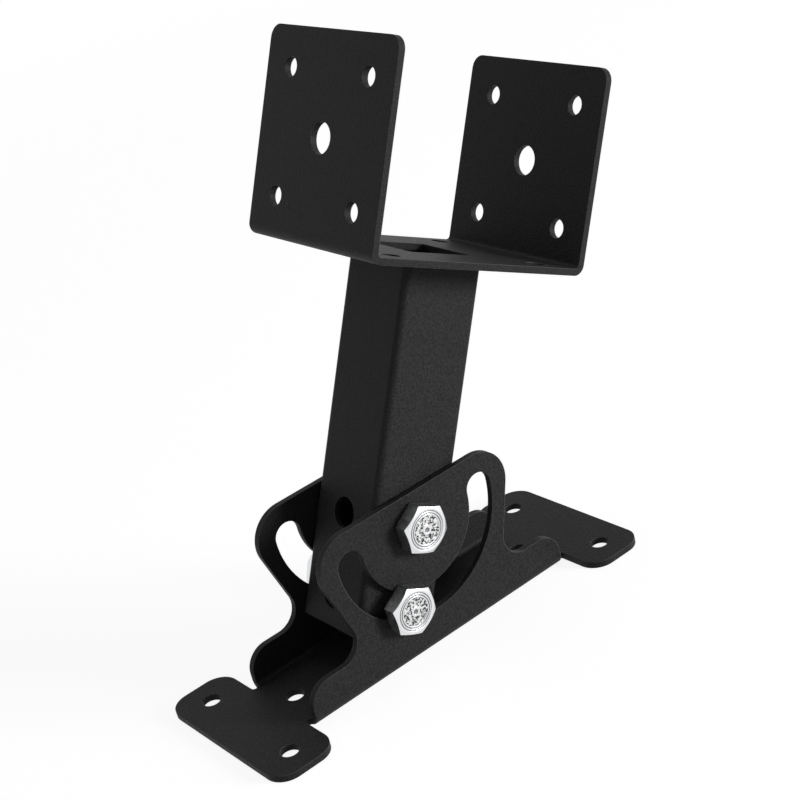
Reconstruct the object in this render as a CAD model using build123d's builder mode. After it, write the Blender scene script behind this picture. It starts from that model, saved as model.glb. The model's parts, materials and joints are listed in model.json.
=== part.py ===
from math import cos, radians, sin, tan
import os

from build123d import *

# Roof riser bracket. Millimetres. The base lies flat with its underside on Z = 0 and its middle at the
# origin, +X runs along the base, the bolt heads face -Y, and the post leans towards +X.

# Sheet metal, the same gauge in the base and the saddle
sheet = 2.5
bend_inside = 1.5
bend_outside = bend_inside + sheet

# Fasteners: M10 bolts and nuts
bolt_diameter = 10.0
bolt_length = 55.0
head_across_flats = 17.0
head_height = 6.4
seat_diameter = 15.6
seat_height = 0.4
nut_height = 8.4
nut_turn = 30.0
thread_clearance = 0.02
tip_chamfer = 1.2
top_diameter = 16.2
corner_slope = 28.0

# Post
tube_width = 34.0
tube_wall = 2.0
tube_corner = 2.6
tube_hole = 10.2
cross_hole = 11.5
pivot_to_floor = 93.5
pivot_to_tube_end = 42.0
rest_lean = 26.0

# Saddle
saddle_width = 95.0
plate_length = 72.0
plate_height = 73.0
plate_corner = 5.0
plate_margin = 14.0
plate_hole = 7.0
plate_centre_hole = 11.0
seat_opening = 28.0
seat_opening_corner = 1.5
seat_hole = 7.0
seat_hole_x = 33.0
seat_hole_y = 27.0
weld_leg = 1.5
weld_toe = 0.3

# Base
base_length = 176.0
side_clearance = 0.75
pivot_height = 50.5
wall_hole = 10.2
slot_radius = 30.0
slot_width = 11.0
lobe_radius = 13.0
flank_lean = 18.0
valley_radius = 8.5
strip_height = 15.5
strip_corner = 9.0
foot_width = 73.0
foot_depth = 25.5
foot_corner = 8.0
relief_width = 2.7
foot_hole = 7.0
foot_hole_x = 75.5
foot_hole_y = 25.0
middle_hole_x = 55.0

# Worked out from the sizes above
channel_width = tube_width + 2 * side_clearance + 2 * sheet
wall_face = channel_width / 2
wall_top = pivot_height + lobe_radius
foot_inner = base_length / 2 - foot_depth
strip_end = foot_inner - relief_width
bend_edge = wall_face - bend_outside
plate_pattern = plate_length - 2 * plate_margin
plate_centre = pivot_to_floor + plate_height - plate_margin - plate_pattern / 2

# The post's own frame: origin on the pivot axis, Z up the tube, X across the saddle. "upright" shows it
# from the side of the bolt heads, "sideways" looks along X from outside the saddle.
lean = radians(rest_lean)
up_post = (sin(lean), 0, cos(lean))
across_post = (cos(lean), 0, -sin(lean))
pivot_point = (0, 0, pivot_height)
post = Plane(origin=pivot_point, x_dir=across_post, z_dir=up_post)
upright = Plane(origin=pivot_point, x_dir=across_post, z_dir=(0, -1, 0))
sideways = Plane(origin=pivot_point, x_dir=(0, 1, 0), z_dir=across_post)


def hexagon_blank(plane, height, turn):
    """A hexagon prism standing on the plane, the corners of its far end cut off in a cone."""
    with BuildSketch(plane) as outline:
        RegularPolygon(head_across_flats / 2, 6, major_radius=False, rotation=turn)
    extrude(outline.sketch, amount=height)
    spread = height / tan(radians(corner_slope))
    with Locations(plane.location):
        Cone(top_diameter / 2 + spread, top_diameter / 2, height, mode=Mode.INTERSECT,
             align=(Align.CENTER, Align.CENTER, Align.MIN))


def hexagon_bolt(along):
    """A bolt across the channel, its head on the -Y wall, this far up the post from the pivot."""
    seat = Plane(origin=upright.from_local_coords((0, along, wall_face)), x_dir=across_post,
                 z_dir=(0, -1, 0))
    hexagon_blank(seat.offset(seat_height), head_height - seat_height, 0)
    with Locations(seat.location):
        Cylinder(seat_diameter / 2, seat_height, align=(Align.CENTER, Align.CENTER, Align.MIN))
        Cylinder(bolt_diameter / 2, bolt_length, align=(Align.CENTER, Align.CENTER, Align.MAX))
    chamfer(edges().group_by(Axis.Y)[-1], tip_chamfer)


def hexagon_nut(along):
    """A nut on the +Y wall, this far up the post from the pivot."""
    seat = Plane(origin=upright.from_local_coords((0, along, -wall_face)), x_dir=across_post,
                 z_dir=(0, 1, 0))
    hexagon_blank(seat.offset(seat_height), nut_height - seat_height, nut_turn)
    with Locations(seat.location):
        Cylinder(seat_diameter / 2, seat_height, align=(Align.CENTER, Align.CENTER, Align.MIN))
        Cylinder(bolt_diameter / 2 + thread_clearance, nut_height, mode=Mode.SUBTRACT,
                 align=(Align.CENTER, Align.CENTER, Align.MIN))


# Base: a channel bent up from a flat blank, with a T-shaped foot left flat at each end
with BuildPart() as base_channel:
    with BuildSketch(Plane.YZ):
        with Locations((0, 2 * wall_top)):
            RectangleRounded(channel_width, 4 * wall_top, bend_outside)
            RectangleRounded(channel_width - 2 * sheet, 4 * wall_top - 2 * sheet, bend_inside,
                             mode=Mode.SUBTRACT)
    extrude(amount=strip_end, both=True)
    # The side view of both walls: two round lobes, sloping flanks, a hollow corner and a low strip
    slope = radians(flank_lean)
    valley_z = strip_height + valley_radius
    flank_foot_x = slot_radius + lobe_radius / cos(slope) + (valley_z - pivot_height) * tan(slope)
    valley_x = flank_foot_x + valley_radius / cos(slope)
    with BuildSketch(Plane.XZ):
        with BuildLine():
            top = Line((0, wall_top), (slot_radius, wall_top))
            lobe = CenterArc((slot_radius, pivot_height), lobe_radius, 90, -90 - flank_lean)
            valley = CenterArc((valley_x, valley_z), valley_radius, 180 - flank_lean, 90 + flank_lean)
            Line(lobe @ 1, valley @ 0)
            corner = CenterArc((strip_end - strip_corner, strip_height - strip_corner), strip_corner, 90, -90)
            Line(valley @ 1, corner @ 0)
            Polyline(corner @ 1, (strip_end, 0), (0, 0))
            mirror(about=Plane.YZ)
        make_face()
    extrude(amount=channel_width, both=True, mode=Mode.INTERSECT)
    # Flat feet, joined to the channel by a neck with a round-ended relief cut on each side
    with BuildSketch(Plane.XY):
        Rectangle(2 * strip_end, 2 * bend_edge)
        relief = relief_width / 2
        for side in (-1, 1):
            with Locations((side * (foot_inner + foot_depth / 2), 0)):
                RectangleRounded(foot_depth, foot_width, foot_corner)
            with Locations((side * (strip_end + relief), 0)):
                Rectangle(relief_width, 2 * (bend_edge + relief))
            with Locations((side * (strip_end + relief), bend_edge + relief),
                           (side * (strip_end + relief), -bend_edge - relief)):
                Circle(relief, mode=Mode.SUBTRACT)
    extrude(amount=sheet)
    with BuildSketch(Plane.XY):
        with GridLocations(2 * foot_hole_x, 2 * foot_hole_y, 2, 2):
            Circle(foot_hole / 2)
        with GridLocations(2 * middle_hole_x, 0, 2, 1):
            Circle(foot_hole / 2)
    extrude(amount=sheet, mode=Mode.SUBTRACT)
    # Pivot hole and the half-circle slot below it, through both walls
    with BuildSketch(Plane.XZ):
        with Locations((0, pivot_height)):
            Circle(slot_radius + slot_width / 2)
            Circle(slot_radius - slot_width / 2, mode=Mode.SUBTRACT)
        with Locations((0, pivot_height + slot_radius)):
            Rectangle(3 * slot_radius, 2 * slot_radius, mode=Mode.SUBTRACT)
        with Locations((slot_radius, pivot_height), (-slot_radius, pivot_height)):
            Circle(slot_width / 2)
        with Locations((0, pivot_height)):
            Circle(wall_hole / 2)
    extrude(amount=channel_width, both=True, mode=Mode.SUBTRACT)
base_channel.part.label = "base_channel"

# Post: a length of square tube cut square at both ends, with cross holes at two levels
with BuildPart() as post_tube:
    with BuildSketch(post.offset(-pivot_to_tube_end)):
        RectangleRounded(tube_width, tube_width, tube_corner)
        RectangleRounded(tube_width - 2 * tube_wall, tube_width - 2 * tube_wall, tube_corner - tube_wall,
                         mode=Mode.SUBTRACT)
    extrude(amount=pivot_to_tube_end + pivot_to_floor)
    for plane, diameter in ((upright, tube_hole), (sideways, cross_hole)):
        with BuildSketch(plane):
            with Locations((0, 0), (0, -slot_radius)):
                Circle(diameter / 2)
        extrude(amount=tube_width, both=True, mode=Mode.SUBTRACT)
post_tube.part.label = "post_tube"

# Saddle: a U of two square plates and a floor, folded from one sheet
with BuildPart() as saddle_bracket:
    with BuildSketch(upright):
        with Locations((0, pivot_to_floor + 2 * plate_height)):
            RectangleRounded(saddle_width, 4 * plate_height, bend_outside)
            RectangleRounded(saddle_width - 2 * sheet, 4 * plate_height - 2 * sheet, bend_inside,
                             mode=Mode.SUBTRACT)
    extrude(amount=plate_length / 2, both=True)
    with BuildSketch(sideways):
        with Locations((0, pivot_to_floor)):
            RectangleRounded(plate_length, 2 * plate_height, plate_corner)
    extrude(amount=saddle_width, both=True, mode=Mode.INTERSECT)
    with BuildSketch(sideways):
        with Locations((0, plate_centre)):
            Circle(plate_centre_hole / 2)
            with GridLocations(plate_pattern, plate_pattern, 2, 2):
                Circle(plate_hole / 2)
    extrude(amount=saddle_width, both=True, mode=Mode.SUBTRACT)
    with BuildSketch(post.offset(pivot_to_floor)):
        RectangleRounded(seat_opening, seat_opening, seat_opening_corner)
        with GridLocations(2 * seat_hole_x, 2 * seat_hole_y, 2, 2):
            Circle(seat_hole / 2)
    extrude(amount=sheet, mode=Mode.SUBTRACT)
saddle_bracket.part.label = "saddle_bracket"

# Weld: a fillet all round the tube, under the saddle's floor
with BuildPart() as saddle_weld:
    with BuildSketch(post.offset(pivot_to_floor)):
        RectangleRounded(tube_width + 2 * weld_leg, tube_width + 2 * weld_leg, tube_corner + weld_leg)
    extrude(amount=-weld_leg)
    chamfer(faces().sort_by(Axis((0, 0, 0), up_post))[0].edges(), weld_leg - weld_toe)
    with BuildSketch(post.offset(pivot_to_floor)):
        RectangleRounded(tube_width, tube_width, tube_corner)
    extrude(amount=-weld_leg, mode=Mode.SUBTRACT)
saddle_weld.part.label = "saddle_weld"

# Pivot bolt and the slot bolt below it, both with their heads on the -Y wall
with BuildPart() as pivot_bolt:
    hexagon_bolt(0)
pivot_bolt.part.label = "pivot_bolt"

with BuildPart() as pivot_nut:
    hexagon_nut(0)
pivot_nut.part.label = "pivot_nut"

with BuildPart() as slot_bolt:
    hexagon_bolt(-slot_radius)
slot_bolt.part.label = "slot_bolt"

with BuildPart() as slot_nut:
    hexagon_nut(-slot_radius)
slot_nut.part.label = "slot_nut"

os.makedirs("parts", exist_ok=True)
export_step(base_channel.part, "parts/base_channel.step")
export_step(post_tube.part, "parts/post_tube.step")
export_step(saddle_bracket.part, "parts/saddle_bracket.step")
export_step(saddle_weld.part, "parts/saddle_weld.step")
export_step(pivot_bolt.part, "parts/pivot_bolt.step")
export_step(pivot_nut.part, "parts/pivot_nut.step")
export_step(slot_bolt.part, "parts/slot_bolt.step")
export_step(slot_nut.part, "parts/slot_nut.step")
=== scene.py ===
import json
from math import cos, pi, radians, sin, tau

import bmesh
import bpy
from mathutils import Matrix, Vector


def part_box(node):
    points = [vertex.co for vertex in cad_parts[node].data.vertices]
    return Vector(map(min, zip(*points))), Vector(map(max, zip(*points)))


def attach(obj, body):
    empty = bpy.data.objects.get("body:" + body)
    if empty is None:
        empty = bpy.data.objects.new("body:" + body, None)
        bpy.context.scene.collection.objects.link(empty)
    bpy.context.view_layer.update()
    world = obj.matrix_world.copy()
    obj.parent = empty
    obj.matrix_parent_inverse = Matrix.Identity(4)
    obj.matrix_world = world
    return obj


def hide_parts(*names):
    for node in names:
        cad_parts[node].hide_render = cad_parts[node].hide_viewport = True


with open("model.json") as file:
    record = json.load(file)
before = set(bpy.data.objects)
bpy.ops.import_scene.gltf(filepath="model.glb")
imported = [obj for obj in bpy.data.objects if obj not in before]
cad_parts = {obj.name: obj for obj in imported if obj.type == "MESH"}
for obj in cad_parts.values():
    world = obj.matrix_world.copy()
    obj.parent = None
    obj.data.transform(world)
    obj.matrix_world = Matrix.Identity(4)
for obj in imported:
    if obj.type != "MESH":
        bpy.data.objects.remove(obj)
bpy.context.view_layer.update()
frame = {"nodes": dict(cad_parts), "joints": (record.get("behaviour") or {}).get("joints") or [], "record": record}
record = frame["record"]
nodes = frame["nodes"]
print("frame loaded:", len(nodes), "nodes")

# The pivot that the post leans about, and the post's own directions
mounts = {mount["name"]: mount for mount in record["mounts"]}
upPost = Vector(mounts["saddle_seat"]["axis"]).normalized()
acrossPost = Vector(mounts["low_plate_holes"]["axis"]).normalized()
pivotPoint = Vector(frame["joints"][0]["pos_m"])


def addNode(tree, kind, at, **settings):
    node = tree.nodes.new(kind)
    node.location = at
    for key, value in settings.items():
        setattr(node, key, value)
    return node


def newGroup(name, inputs, outputs):
    # A node group with its named sockets, and the two nodes that stand for them inside it
    tree = bpy.data.node_groups.new(name, "ShaderNodeTree")
    for direction, sockets in (("INPUT", inputs), ("OUTPUT", outputs)):
        for label, kind in sockets.items():
            tree.interface.new_socket(name=label, in_out=direction, socket_type="NodeSocket" + kind)
    given = addNode(tree, "NodeGroupInput", (-700, 0))
    out = addNode(tree, "NodeGroupOutput", (500, 0))
    return tree, given, out


# An edge is marked by how far its rounded normal turns from the flat one, as a cosine
edgeEffect = {"samples": 8, "markStarts": 0.96, "markFull": 0.75}


def makeEdgeGroup():
    # Rounds the corners in the shading, and marks where they are
    tree, given, out = newGroup(
        "roundedEdge", {"Radius": "Float"}, {"Normal": "Vector", "Edge": "Float"})
    rounded = addNode(tree, "ShaderNodeBevel", (-400, 100), samples=edgeEffect["samples"])
    surface = addNode(tree, "ShaderNodeNewGeometry", (-400, -150))
    facing = addNode(tree, "ShaderNodeVectorMath", (-150, 0), operation="DOT_PRODUCT")
    mark = addNode(tree, "ShaderNodeMapRange", (100, -50), interpolation_type="SMOOTHSTEP")
    mark.inputs["From Min"].default_value = edgeEffect["markStarts"]
    mark.inputs["From Max"].default_value = edgeEffect["markFull"]
    link = tree.links.new
    link(given.outputs["Radius"], rounded.inputs["Radius"])
    link(rounded.outputs["Normal"], facing.inputs[0])
    link(surface.outputs["Normal"], facing.inputs[1])
    link(facing.outputs["Value"], mark.inputs["Value"])
    link(rounded.outputs["Normal"], out.inputs["Normal"])
    link(mark.outputs["Result"], out.inputs["Edge"])
    return tree


# Detail and roughness of the two noises, and the value that the mottle spreads from
grainEffect = {"grainDetail": 2.5, "grainRoughness": 0.6, "mottleDetail": 4.0, "mottleMiddle": 0.5}


def makeGrainGroup():
    # Random grain for the bump, and a mottle: specks at a narrow spread and cloud at a wide one
    tree, given, out = newGroup(
        "fineGrain",
        {"Grain Size": "Float", "Mottle Size": "Float", "Mottle Spread": "Float"},
        {"Height": "Float", "Mottle": "Float"})
    place = addNode(tree, "ShaderNodeTexCoord", (-700, 250))
    grain = addNode(tree, "ShaderNodeTexNoise", (-400, 150))
    grain.inputs["Detail"].default_value = grainEffect["grainDetail"]
    grain.inputs["Roughness"].default_value = grainEffect["grainRoughness"]
    mottle = addNode(tree, "ShaderNodeTexNoise", (-400, -150))
    mottle.inputs["Detail"].default_value = grainEffect["mottleDetail"]
    lowest = addNode(tree, "ShaderNodeMath", (-400, -400), operation="SUBTRACT")
    highest = addNode(tree, "ShaderNodeMath", (-400, -550), operation="ADD")
    specks = addNode(tree, "ShaderNodeMapRange", (-100, -200))
    link = tree.links.new
    for end in (lowest, highest):
        end.inputs[0].default_value = grainEffect["mottleMiddle"]
        link(given.outputs["Mottle Spread"], end.inputs[1])
    for noise, size in ((grain, "Grain Size"), (mottle, "Mottle Size")):
        link(place.outputs["Object"], noise.inputs["Vector"])
        link(given.outputs[size], noise.inputs["Scale"])
    link(grain.outputs["Fac"], out.inputs["Height"])
    link(mottle.outputs["Fac"], specks.inputs["Value"])
    link(lowest.outputs["Value"], specks.inputs["From Min"])
    link(highest.outputs["Value"], specks.inputs["From Max"])
    link(specks.outputs["Result"], out.inputs["Mottle"])
    return tree


roundedEdge = makeEdgeGroup()
fineGrain = makeGrainGroup()

# Sizes of grain and mottle count how many fit in a metre; the two roughnesses follow the mottle
coat = {
    "colour": (0.008, 0.008, 0.0084, 1),
    "mottleColour": (0.032, 0.032, 0.0328, 1),
    # The edge colour is partly wear on the coat and partly a painted highlight along the sheet edges
    "edgeWearAndHighlightColour": (0.15, 0.15, 0.152, 1),
    "metallic": 0.0,
    "specular": 0.10,
    "roughness": (0.48, 0.60),
    "edgeRadius": 0.0005,
    "grainSize": 1500.0,
    "grainDepth": 0.00022,
    "mottleSize": 1800.0,
    "mottleSpread": 0.17,
}

zinc = {
    "colour": (0.83, 0.835, 0.84, 1),
    "mottleColour": (0.68, 0.69, 0.71, 1),
    "edgeWearAndHighlightColour": (0.86, 0.87, 0.88, 1),
    "metallic": 1.0,
    "specular": 0.5,
    "roughness": (0.24, 0.38),
    "edgeRadius": 0.0003,
    "grainSize": 900.0,
    "grainDepth": 0.000008,
    "mottleSize": 220.0,
    "mottleSpread": 0.4,
}

# The pitted middle of a bolt head; its near-black specks are painted shade standing for the shade in the pits
stamped = {
    "colour": (0.02, 0.0205, 0.021, 1),
    "mottleColour": (0.82, 0.825, 0.83, 1),
    "edgeWearAndHighlightColour": (0.95, 0.955, 0.96, 1),
    "metallic": 1.0,
    "specular": 0.5,
    "roughness": (0.60, 0.24),
    "edgeRadius": 0.0002,
    "grainSize": 1300.0,
    "grainDepth": 0.0002,
    "mottleSize": 1350.0,
    "mottleSpread": 0.07,
}

# The forged flanks and the turned grooves of a bolt head, darkened: painted shade in the grooves and a painted
# dark reflection on the flanks
grooveAndFlankShade = {
    "colour": (0.13, 0.132, 0.135, 1),
    "mottleColour": (0.24, 0.243, 0.246, 1),
    "edgeWearAndHighlightColour": (0.40, 0.405, 0.41, 1),
    "metallic": 1.0,
    "specular": 0.5,
    "roughness": (0.40, 0.56),
    "edgeRadius": 0.0003,
    "grainSize": 1200.0,
    "grainDepth": 0.00003,
    "mottleSize": 700.0,
    "mottleSpread": 0.25,
}


def startMaterial(name):
    material = bpy.data.materials.new(name)
    material.use_nodes = True
    material.node_tree.nodes.clear()
    return material, material.node_tree


def makeFinish(name, look):
    # Grain and mottle colour the surface, and its rounded edges are lighter: partly wear, partly a painted
    # highlight along the rims
    material, tree = startMaterial(name)
    out = addNode(tree, "ShaderNodeOutputMaterial", (900, 0))
    shader = addNode(tree, "ShaderNodeBsdfPrincipled", (600, 0))
    shader.inputs["Metallic"].default_value = look["metallic"]
    shader.inputs["Specular IOR Level"].default_value = look["specular"]
    grain = addNode(tree, "ShaderNodeGroup", (-500, 100), node_tree=fineGrain)
    grain.inputs["Grain Size"].default_value = look["grainSize"]
    grain.inputs["Mottle Size"].default_value = look["mottleSize"]
    grain.inputs["Mottle Spread"].default_value = look["mottleSpread"]
    edge = addNode(tree, "ShaderNodeGroup", (-500, -200), node_tree=roundedEdge)
    edge.inputs["Radius"].default_value = look["edgeRadius"]
    cloud = addNode(tree, "ShaderNodeMix", (-200, 250), data_type="RGBA")
    cloud.inputs["A"].default_value = look["colour"]
    cloud.inputs["B"].default_value = look["mottleColour"]
    # Edges take a lighter colour: partly worn finish, partly a painted highlight along the rims
    wornAndHighlit = addNode(tree, "ShaderNodeMix", (50, 200), data_type="RGBA")
    wornAndHighlit.inputs["B"].default_value = look["edgeWearAndHighlightColour"]
    rough = addNode(tree, "ShaderNodeMapRange", (50, -50))
    rough.inputs["To Min"].default_value, rough.inputs["To Max"].default_value = look["roughness"]
    bump = addNode(tree, "ShaderNodeBump", (300, -300))
    bump.inputs["Distance"].default_value = look["grainDepth"]
    link = tree.links.new
    link(grain.outputs["Mottle"], cloud.inputs["Factor"])
    link(cloud.outputs["Result"], wornAndHighlit.inputs["A"])
    link(edge.outputs["Edge"], wornAndHighlit.inputs["Factor"])
    link(wornAndHighlit.outputs["Result"], shader.inputs["Base Color"])
    link(grain.outputs["Mottle"], rough.inputs["Value"])
    link(rough.outputs["Result"], shader.inputs["Roughness"])
    link(grain.outputs["Height"], bump.inputs["Height"])
    link(edge.outputs["Normal"], bump.inputs["Normal"])
    link(bump.outputs["Normal"], shader.inputs["Normal"])
    link(shader.outputs["BSDF"], out.inputs["Surface"])
    return material


blackCoat = makeFinish("blackCoat", coat)
brightZinc = makeFinish("brightZinc", zinc)
stampedZinc = makeFinish("stampedZinc", stamped)
shadedZinc = makeFinish("shadedZinc", grooveAndFlankShade)
print("materials made")

sharpAngle = radians(28)  # edges that turn more than this are shaded sharp


def giveMaterials(obj, *materials):
    # Clearing sets every face back to the first material, so it is left out on a new mesh
    if len(obj.data.materials):
        obj.data.materials.clear()
    for material in materials:
        obj.data.materials.append(material)


def addPiece(bm, name, materials, body, stands):
    # Makes the finished object and puts it in place of its CAD node
    bmesh.ops.recalc_face_normals(bm, faces=bm.faces)
    for face in bm.faces:
        face.smooth = True
    mesh = bpy.data.meshes.new(name)
    bm.to_mesh(mesh)
    bm.free()
    mesh.set_sharp_from_angle(angle=sharpAngle)
    obj = bpy.data.objects.new(name, mesh)
    bpy.context.scene.collection.objects.link(obj)
    giveMaterials(obj, *materials)
    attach(obj, body)
    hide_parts(stands)


for name in ("base_channel", "post_tube", "saddle_bracket"):
    giveMaterials(nodes[name], blackCoat)

# What the bolt heads and the nuts share
hexagon = {
    "acrossFlats": 0.017,
    "seatRadius": 0.0078,
    "seatHeight": 0.0004,
    "seatGap": 0.00002,  # keeps the washer face just off the wall that it slides on
    "topRadius": 0.0081,
    "cornerReach": 0.0026,  # how far the blank stands past its top, before the flats are cut
    "cornerDrop": 0.0014,
    "cornerRound": 0.00025,
    "cornerAngle": radians(50),  # only upright edges sharper than this and further out are rounded
    "cornerUpright": 0.9,
    "cornerBeyond": 0.0088,
    "roundSteps": 72,
}

mergeWithin = 0.000002  # points nearer than this are one point
cutTolerance = 0.0000005


def spinLine(bm, points, angle, steps, rise, closed):
    # Turns a line of (radius, height) points about the Z axis, rising a little at each step
    verts = [bm.verts.new((radius, 0, height)) for radius, height in points]
    edges = [bm.edges.new(pair) for pair in zip(verts, verts[1:])]
    bmesh.ops.spin(bm, geom=verts + edges, cent=(0, 0, 0), axis=(0, 0, 1), dvec=(0, 0, rise),
                   angle=angle, steps=steps, use_merge=closed, use_duplicate=False)
    bmesh.ops.remove_doubles(bm, verts=bm.verts, dist=mergeWithin)


def cutAway(bm, point, outwards):
    # Takes off what lies beyond a plane, and gives the open rim
    everything = bm.verts[:] + bm.edges[:] + bm.faces[:]
    cut = bmesh.ops.bisect_plane(bm, geom=everything, dist=cutTolerance, plane_co=point,
                                 plane_no=outwards, clear_outer=True)
    return [item for item in cut["geom_cut"] if isinstance(item, bmesh.types.BMEdge)]


def softenCorners(bm):
    # The corners between the flats are slightly rounded, as forged ones are
    bm.normal_update()
    corners = []
    for edge in bm.edges:
        first, last = (vert.co for vert in edge.verts)
        upright = abs((first - last).normalized().z) > hexagon["cornerUpright"]
        if upright and first.xy.length > hexagon["cornerBeyond"] and len(edge.link_faces) == 2:
            if edge.calc_face_angle() > hexagon["cornerAngle"]:
                corners.append(edge)
    bmesh.ops.bevel(bm, geom=corners, offset=hexagon["cornerRound"], offset_type="OFFSET",
                    affect="EDGES", segments=2, profile=0.5, material=-1, clamp_overlap=True)


def makeHexagon(below, top, above, firstFlat):
    # Turned round from its washer face to its top, then cut to six flats
    seat, wide = hexagon["seatRadius"], hexagon["topRadius"] + hexagon["cornerReach"]
    outside = [(seat, hexagon["seatGap"]), (seat, hexagon["seatHeight"]),
               (wide, hexagon["seatHeight"]), (wide, top - hexagon["cornerDrop"]),
               (hexagon["topRadius"], top)]
    bm = bmesh.new()
    spinLine(bm, below + outside + above, tau, hexagon["roundSteps"], rise=0, closed=True)
    for turn in range(6):
        angle = radians(firstFlat + 60 * turn)
        outwards = Vector((cos(angle), sin(angle), 0))
        rim = cutAway(bm, outwards * hexagon["acrossFlats"] / 2, outwards)
        bmesh.ops.edgeloop_fill(bm, edges=rim)
    softenCorners(bm)
    return bm


def placeOn(x, y, z, outwards):
    # Local Z points away from the wall and local X across the post
    up = outwards.cross(acrossPost)
    turned = Matrix((acrossPost, up, outwards)).transposed().to_4x4()
    return Matrix.Translation((x, y, z)) @ turned


bolt = {
    "firstFlat": 30,
    "headHeight": 0.0064,
    "shankRadius": 0.00499,
    "threadedLength": 0.018,
    # Radius and depth of the turned rings in the head, from its rim to the centre mark
    "rings": (
        (0.0073, 0), (0.0072, 0.00025), (0.0069, 0.00025), (0.0068, 0.00008), (0.0064, 0.00008),
        (0.0063, 0.00025), (0.0060, 0.00025), (0.0059, 0.00010), (0.0055, 0.00010),
        (0.0054, 0.00024), (0.0020, 0.00024), (0.0018, 0.00004), (0.0010, 0.00004),
        (0.0007, 0.00035), (0, 0.00045)),
    # Where its finishes change: pitted from the mark to the rings, with painted shade in grooves and on flanks
    "markRadius": 0.0018,
    "stampedRadius": 0.0054,
    "ringsRadius": 0.0074,
    "patternDepth": 0.0006,
    "grooveDepth": 0.00015,
    "flankRadius": 0.008,
    "flankTilt": 0.2,
}

# Radius and share of the pitch along one tooth: 0 is the root and 1 is the crest
thread = {
    "radius": 0.00498,
    "depth": 0.00085,
    "pitch": 0.0015,
    "tooth": ((0, 0.0), (0, 0.12), (1, 0.50), (1, 0.62), (0, 1.0)),
    "stepsPerTurn": 28,
    "tipRadius": 0.0038,
}


def makeScrew(low, high):
    # One tooth is spun up the screw, trimmed square at both ends and closed
    bm = bmesh.new()
    pitch, steps = thread["pitch"], thread["stepsPerTurn"]
    turns = round((high - low) / pitch) + 2
    radii = (thread["radius"] - thread["depth"], thread["radius"])
    tooth = [(radii[crest], low - pitch + share * pitch) for crest, share in thread["tooth"]]
    spinLine(bm, tooth, tau * turns, steps * turns, rise=pitch / steps, closed=False)
    for height, side in ((low, -1), (high, 1)):
        bmesh.ops.edgenet_fill(bm, edges=cutAway(bm, (0, 0, height), (0, 0, side)))
    # The tip is chamfered, so the last turns run out into a cone
    for vert in bm.verts:
        allowed = thread["tipRadius"] + max(0.0, vert.co.z - low)
        if vert.co.xy.length > allowed:
            vert.co.xy *= allowed / vert.co.xy.length
    mesh = bpy.data.meshes.new("screw")
    bm.to_mesh(mesh)
    bm.free()
    return mesh


def finishHead(bm, top):
    # The pitted middle is the second material; the grooves and the forged flanks, darkened with painted shade, are
    # the third
    bm.normal_update()
    for face in bm.faces:
        centre = face.calc_center_median()
        reach, depth = centre.xy.length, top - centre.z
        onPattern = abs(depth) < bolt["patternDepth"]
        upright = abs(face.normal.z) < bolt["flankTilt"] and centre.z > hexagon["seatHeight"]
        if onPattern and bolt["markRadius"] < reach < bolt["stampedRadius"]:
            face.material_index = 1
        # Grooves get the darker metal as painted shade, and flanks as a painted dark reflection
        elif onPattern and depth > bolt["grooveDepth"] and reach < bolt["ringsRadius"]:
            face.material_index = 2
        elif upright and reach > bolt["flankRadius"]:
            face.material_index = 2


def makeBolt(name, node, body):
    low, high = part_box(node)
    top, shank = bolt["headHeight"], bolt["shankRadius"]
    wall = low.y + top
    tip = wall - high.y
    threadTop = tip + bolt["threadedLength"]
    below = [(0, threadTop), (shank, threadTop), (shank, hexagon["seatGap"])]
    rings = [(radius, top - depth) for radius, depth in bolt["rings"]]
    bm = makeHexagon(below, top, rings, bolt["firstFlat"])
    finishHead(bm, top)
    screw = makeScrew(tip, threadTop)
    bm.from_mesh(screw)
    bpy.data.meshes.remove(screw)
    middle = (low + high) / 2
    place = placeOn(middle.x, wall, middle.z, Vector((0, -1, 0)))
    bmesh.ops.transform(bm, matrix=place, verts=bm.verts)
    addPiece(bm, name, (brightZinc, stampedZinc, shadedZinc), body, node)


makeBolt("pivotBoltDetailed", "pivot_bolt", "base")
makeBolt("slotBoltDetailed", "slot_bolt", "post")

nut = {
    "firstFlat": 0,
    "height": 0.0084,
    "boreRadius": 0.00502,
    "mouthRadius": 0.0056,
    "mouthDepth": 0.0006,
}


def makeNut(name, node, body):
    low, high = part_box(node)
    top, bore, gap = nut["height"], nut["boreRadius"], hexagon["seatGap"]
    inside = [(nut["mouthRadius"], top), (bore, top - nut["mouthDepth"]), (bore, gap)]
    bm = makeHexagon([(bore, gap)], top, inside, nut["firstFlat"])
    middle = (low + high) / 2
    place = placeOn(middle.x, low.y, middle.z, Vector((0, 1, 0)))
    bmesh.ops.transform(bm, matrix=place, verts=bm.verts)
    addPiece(bm, name, (brightZinc,), body, node)


makeNut("pivotNutDetailed", "pivot_nut", "base")
makeNut("slotNutDetailed", "slot_nut", "post")
print("bolts and nuts made")

weld = {
    "tubeHalf": 0.017,
    "tubeCorner": 0.0026,
    "floorHeight": 0.0935,  # underside of the saddle's floor, from the pivot up the post
    "inset": 0.0004,
    "rippleRadius": 0.00115,
    "rippleThickness": 0.0009,
    "ripplePitch": 0.0010,
    "lean": radians(24),
    "wobble": ((0.05, 2.4), (0.03, 5.1)),  # share of a ripple's size, and how fast it changes
    "around": 12,
    "rings": 6,
}


def aroundTube(distance, half, corner):
    # Point and heading on a rounded square, this far along it from the middle of the +X side
    straight, bend = 2 * (half - corner), corner * pi / 2
    side, along = divmod(distance + straight / 2, straight + bend)
    if along <= straight:
        point, heading = Vector((half, along - straight / 2, 0)), 0.0
    else:
        heading = (along - straight) / corner
        point = Vector((half - corner + corner * cos(heading),
                        straight / 2 + corner * sin(heading), 0))
    turn = Matrix.Rotation(side * pi / 2, 4, "Z")
    return turn @ point, heading + side * pi / 2


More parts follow.
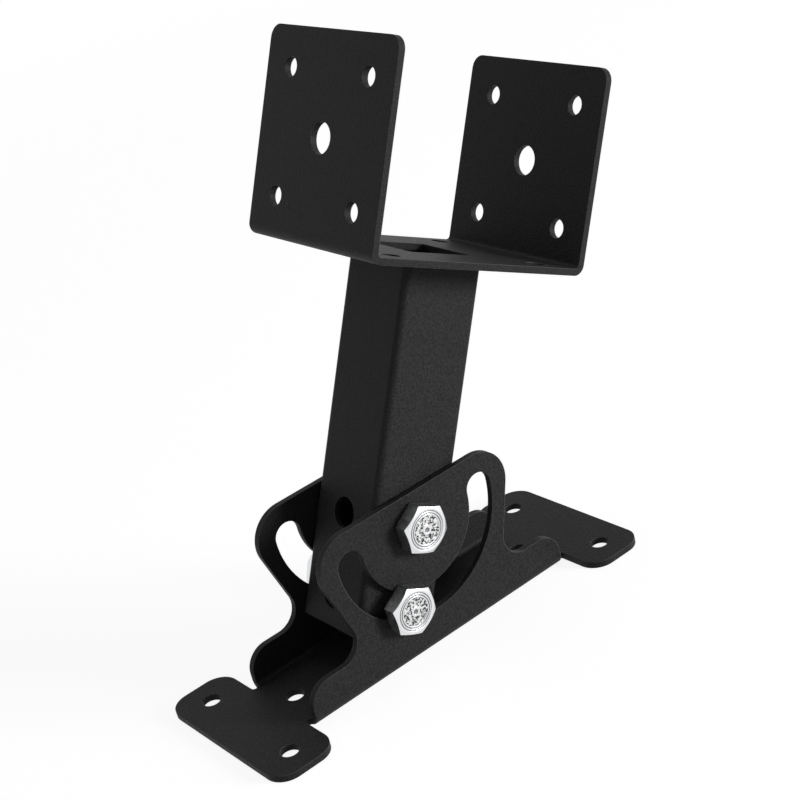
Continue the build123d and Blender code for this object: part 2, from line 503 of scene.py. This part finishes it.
def makeWeld():
    # Overlapping ripples of metal laid round the tube, in the corner under the saddle's floor
    half, corner = weld["tubeHalf"] + weld["inset"], weld["tubeCorner"] + weld["inset"]
    whole = 4 * (2 * (half - corner) + corner * pi / 2)
    count = round(whole / weld["ripplePitch"])
    post = Matrix((acrossPost, Vector((0, 1, 0)), upPost)).transposed().to_4x4()
    lift = Matrix.Translation((0, 0, weld["floorHeight"] - weld["inset"]))
    toCorner = Matrix.Translation(pivotPoint) @ post @ lift
    lean = Matrix.Rotation(weld["lean"], 4, "Z")
    ripple = (weld["rippleRadius"], weld["rippleThickness"], weld["rippleRadius"], 1)
    bm = bmesh.new()
    for index in range(count):
        point, heading = aroundTube(whole * index / count, half, corner)
        size = 1 + sum(share * sin(index * speed) for share, speed in weld["wobble"])
        turned = Matrix.Rotation(heading, 4, "Z") @ lean
        squashed = Matrix.Diagonal(ripple) @ Matrix.Scale(size, 4)
        matrix = toCorner @ Matrix.Translation(point) @ turned @ squashed
        bmesh.ops.create_uvsphere(bm, u_segments=weld["around"], v_segments=weld["rings"],
                                  radius=1.0, matrix=matrix)
    addPiece(bm, "saddleWeldRippled", (blackCoat,), "post", "saddle_weld")


makeWeld()
print("weld laid")

# Plain pale floor under soft lamps, white where the camera or a reflection sees it
studio = {
    "floorColour": (0.82, 0.82, 0.82, 1),
    "floorSeenColour": (3.0, 3.0, 3.0, 1),  # lifts the lit floor to white and leaves its shadow
    "floorSize": 60.0,
    "floorGlow": (0.88, 1.0),  # near the object the floor is part lit, and from further out white
    "glowGrows": (0.25, 1.4),
    "worldColour": (1, 1, 1, 1),
    "worldStrength": 0.08,
    "seenStrength": 1.0,
    "lamps": {
        "front": {"from": (1.2, -1.6, 0.38), "size": 0.7, "power": 38.0},
        "top": {"from": (0.4, 0.5, 1.9), "size": 1.4, "power": 4.3},
        "left": {"from": (-1.7, -0.4, 0.5), "size": 0.8, "power": 1.2},
    },
    "aim": (0.0, 0.0, 0.1),
}


def seenRays(tree, x, y):
    # 1 for rays from the camera, a reflection or a transmission, 0 for the light's own bounces
    path = addNode(tree, "ShaderNodeLightPath", (x, y))
    either = addNode(tree, "ShaderNodeMath", (x + 200, y), operation="MAXIMUM")
    seen = addNode(tree, "ShaderNodeMath", (x + 400, y), operation="MAXIMUM")
    tree.links.new(path.outputs["Is Camera Ray"], either.inputs[0])
    tree.links.new(path.outputs["Is Glossy Ray"], either.inputs[1])
    tree.links.new(either.outputs["Value"], seen.inputs[0])
    tree.links.new(path.outputs["Is Transmission Ray"], seen.inputs[1])
    return seen.outputs["Value"]


def makePaleFloor():
    material, tree = startMaterial("paleFloor")
    out = addNode(tree, "ShaderNodeOutputMaterial", (600, 0))
    seen = seenRays(tree, -700, 300)
    tone = addNode(tree, "ShaderNodeMix", (-250, 150), data_type="RGBA")
    tone.inputs["A"].default_value = studio["floorColour"]
    tone.inputs["B"].default_value = studio["floorSeenColour"]
    matte = addNode(tree, "ShaderNodeBsdfDiffuse", (0, 100))
    glow = addNode(tree, "ShaderNodeEmission", (0, -100))
    glow.inputs["Strength"].default_value = studio["seenStrength"]
    place = addNode(tree, "ShaderNodeTexCoord", (-900, 500))
    reach = addNode(tree, "ShaderNodeVectorMath", (-700, 500), operation="LENGTH")
    fade = addNode(tree, "ShaderNodeMapRange", (-500, 500), interpolation_type="SMOOTHSTEP")
    for end, values in (("From", studio["glowGrows"]), ("To", studio["floorGlow"])):
        fade.inputs[end + " Min"].default_value, fade.inputs[end + " Max"].default_value = values
    share = addNode(tree, "ShaderNodeMath", (0, 300), operation="MULTIPLY")
    both = addNode(tree, "ShaderNodeMixShader", (300, 0))
    link = tree.links.new
    link(place.outputs["Object"], reach.inputs[0])
    link(reach.outputs["Value"], fade.inputs["Value"])
    link(fade.outputs["Result"], share.inputs[1])
    link(seen, share.inputs[0])
    link(seen, tone.inputs["Factor"])
    link(tone.outputs["Result"], matte.inputs["Color"])
    link(share.outputs["Value"], both.inputs["Fac"])
    link(matte.outputs["BSDF"], both.inputs[1])
    link(glow.outputs["Emission"], both.inputs[2])
    link(both.outputs["Shader"], out.inputs["Surface"])
    return material


def makeFloor():
    bm = bmesh.new()
    bmesh.ops.create_grid(bm, x_segments=1, y_segments=1, size=studio["floorSize"] / 2)
    mesh = bpy.data.meshes.new("floor")
    bm.to_mesh(mesh)
    bm.free()
    floor = bpy.data.objects.new("floor", mesh)
    bpy.context.scene.collection.objects.link(floor)
    giveMaterials(floor, makePaleFloor())


def makeWorld():
    world = bpy.data.worlds.new("studio")
    bpy.context.scene.world = world
    world.use_nodes = True
    tree = world.node_tree
    sky = tree.nodes["Background"]
    sky.inputs["Color"].default_value = studio["worldColour"]
    level = addNode(tree, "ShaderNodeMapRange", (-250, 0))
    level.inputs["To Min"].default_value = studio["worldStrength"]
    level.inputs["To Max"].default_value = studio["seenStrength"]
    tree.links.new(seenRays(tree, -900, 0), level.inputs["Value"])
    tree.links.new(level.outputs["Result"], sky.inputs["Strength"])


def addLamps():
    aim = Vector(studio["aim"])
    for name, lamp in studio["lamps"].items():
        light = bpy.data.lights.new(name, "AREA")
        light.shape = "DISK"
        light.size = lamp["size"]
        light.energy = lamp["power"]
        holder = bpy.data.objects.new(name, light)
        holder.location = lamp["from"]
        holder.rotation_euler = (aim - Vector(lamp["from"])).to_track_quat("-Z", "Y").to_euler()
        bpy.context.scene.collection.objects.link(holder)


makeFloor()
makeWorld()
addLamps()
print("studio lit")

# The photograph's viewpoint, found by fitting the holes and edges of the real one
view = {
    "place": (-0.29142, -0.48204, 0.35871),
    "right": (0.75701, -0.61417, -0.22299),
    "down": (-0.43262, -0.21537, -0.87548),
    "forward": (0.48967, 0.75922, -0.42874),
    "lens": 79.57,
    "sensorWidth": 36.0,
    "nearest": 0.01,
}


def addCamera():
    camera = bpy.data.objects.new("camera", bpy.data.cameras.new("camera"))
    camera.data.sensor_fit = "HORIZONTAL"
    camera.data.sensor_width = view["sensorWidth"]
    camera.data.lens = view["lens"]
    camera.data.clip_start = view["nearest"]
    axes = (Vector(view["right"]), -Vector(view["down"]), -Vector(view["forward"]))
    turned = Matrix(axes).transposed().to_4x4()
    camera.matrix_world = Matrix.Translation(view["place"]) @ turned
    bpy.context.scene.collection.objects.link(camera)
    bpy.context.scene.camera = camera


addCamera()
bpy.context.scene.view_settings.view_transform = "Standard"
print("scene ready")
